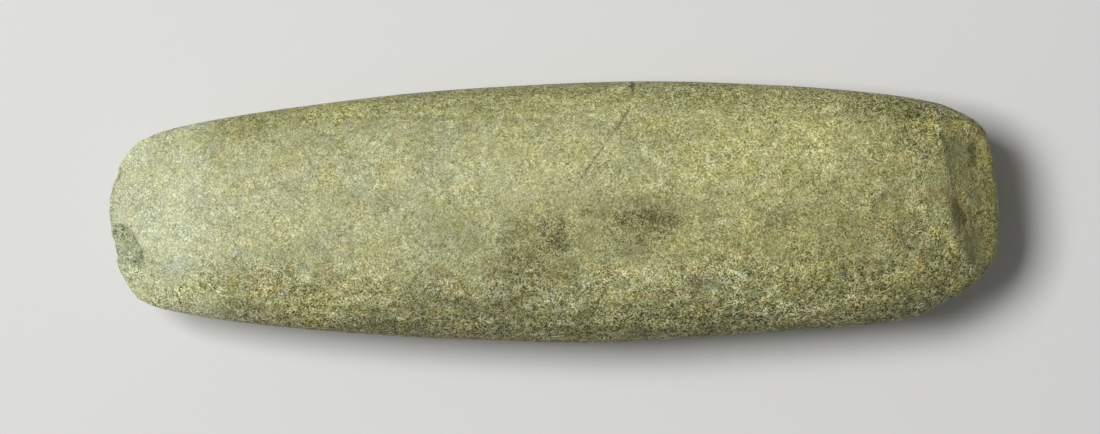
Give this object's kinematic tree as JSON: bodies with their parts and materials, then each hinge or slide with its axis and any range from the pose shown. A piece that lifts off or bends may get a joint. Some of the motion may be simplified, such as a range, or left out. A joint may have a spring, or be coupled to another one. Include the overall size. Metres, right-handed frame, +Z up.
{
  "type": "stone chisel",
  "caption": "Ground stone chisel: a long rounded stone bar that tapers to a broad cutting edge at one end and ends in a blunt chipped butt at the other.",
  "frame": {"origin": "Middle of the stone's length and width, at the level of the surface it lies on.", "axes": "+X runs along the stone from the cutting edge to the butt, +Y across it to the long side that is at the top of the picture, +Z up through its thickness, from the back face that it lies on to the face that shows."},
  "size_m": [0.15, 0.0442, 0.03],
  "materials": {
    "stone": "Speckled grey-green to ochre stone, ground smooth, slightly shiny at the cutting edge, rougher and darker along the near side and in the hollows of the butt."
  },
  "bodies": {
    "root": {"stone_chisel": "stone"}
  },
  "joints": []
}
